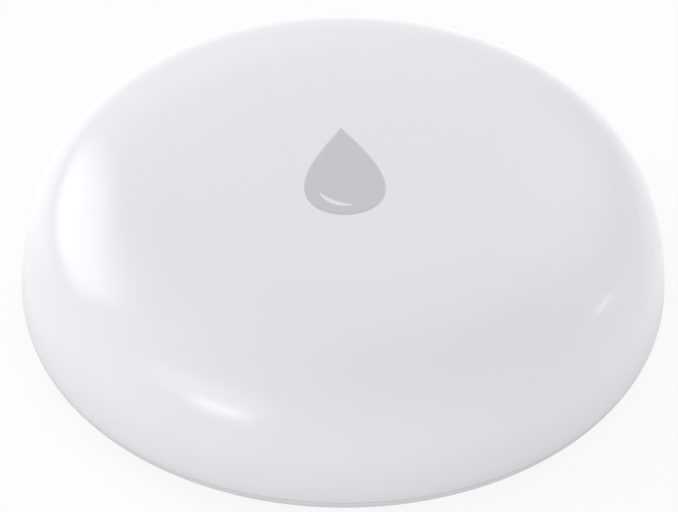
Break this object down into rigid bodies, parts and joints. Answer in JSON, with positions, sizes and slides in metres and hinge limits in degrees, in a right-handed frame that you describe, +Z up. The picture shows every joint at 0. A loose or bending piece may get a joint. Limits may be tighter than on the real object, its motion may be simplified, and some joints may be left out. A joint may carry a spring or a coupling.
{
  "type": "water leak sensor",
  "caption": "Round battery leak sensor: a domed white case that is pressed to test it, two probes underneath and a coin-slot battery door.",
  "frame": {"origin": "middle of the surface that the feet and probes stand on", "axes": "+Z up out of the crown of the cover; the probes lie on X; +Y is away from the viewer, where the mark on the crown points"},
  "size_m": [0.05, 0.05, 0.015],
  "materials": {
    "cover_gloss": "polished white moulding",
    "base_white": "fine matt white moulding",
    "door_white": "fine matt white moulding",
    "seal_rubber": "soft dark rubber",
    "board_green": "solder mask over glass laminate",
    "steel": "plain stainless steel",
    "nickel": "nickel plate",
    "brass": "turned brass",
    "chip_black": "moulded black resin",
    "ceramic": "fired ceramic with tinned ends",
    "capacitor_yellow": "moulded resin",
    "lamp_clear": "clear lens on a white body",
    "switch_black": "moulded switch body",
    "button_blue": "moulded switch button",
    "gasket_grey": "nylon gasket",
    "cell_paste": "pressed filling"
  },
  "bodies": {
    "base": {"base_shell": "base_white", "cover_seal": "seal_rubber", "probe_seal_left": "seal_rubber", "probe_seal_right": "seal_rubber", "circuit_board": "board_green", "board_screws": "steel", "probe_left": "steel", "probe_right": "steel", "probe_post_left": "brass", "probe_post_right": "brass", "radio_chip": "chip_black", "crystal": "nickel", "antenna": "nickel", "bulk_capacitor": "capacitor_yellow", "status_led": "lamp_clear", "chip_resistors": "chip_black", "chip_capacitors": "ceramic", "switch_base": "switch_black", "switch_plate": "nickel", "switch_legs": "nickel", "switch_dome": "steel", "negative_leaf": "nickel", "positive_clip": "nickel"},
    "cover": {"top_cover": "cover_gloss"},
    "switch_button": {"switch_plunger": "button_blue"},
    "seal": {"door_seal": "seal_rubber"},
    "door": {"battery_door": "door_white"},
    "cell": {"cell_can": "nickel", "cell_cap": "nickel", "cell_gasket": "gasket_grey", "cell_core": "cell_paste"}
  },
  "joints": [
    {"name": "cover_press", "type": "slide", "parent": "base", "child": "cover", "axis": [0, 0, -1], "range_m": [0, 0.00025], "stiffness_N_per_m": 9000, "springref_m": -0.0001},
    {"name": "switch_travel", "type": "slide", "parent": "base", "child": "switch_button", "axis": [0, 0, -1], "range_m": [0, 0.00025], "deforming": ["switch_dome"]},
    {"name": "door_drop", "type": "slide", "parent": "base", "child": "seal", "axis": [0, 0, -1], "range_m": [0, 0.0066]},
    {"name": "door_turn", "type": "hinge", "parent": "seal", "child": "door", "pos_m": [0, 0, 0], "axis": [0, 0, -1], "range_deg": [0, 330.01]},
    {"name": "cell_drop", "type": "slide", "parent": "base", "child": "cell", "axis": [0, 0, -1], "range_m": [0, 0.0066]}
  ],
  "couplings": [
    {"joint": "switch_travel", "follows": "cover_press", "ratio": 1},
    {"joint": "door_turn", "follows": "door_drop", "rad_per_m": 872.66},
    {"joint": "cell_drop", "follows": "door_drop", "ratio": 1}
  ]
}
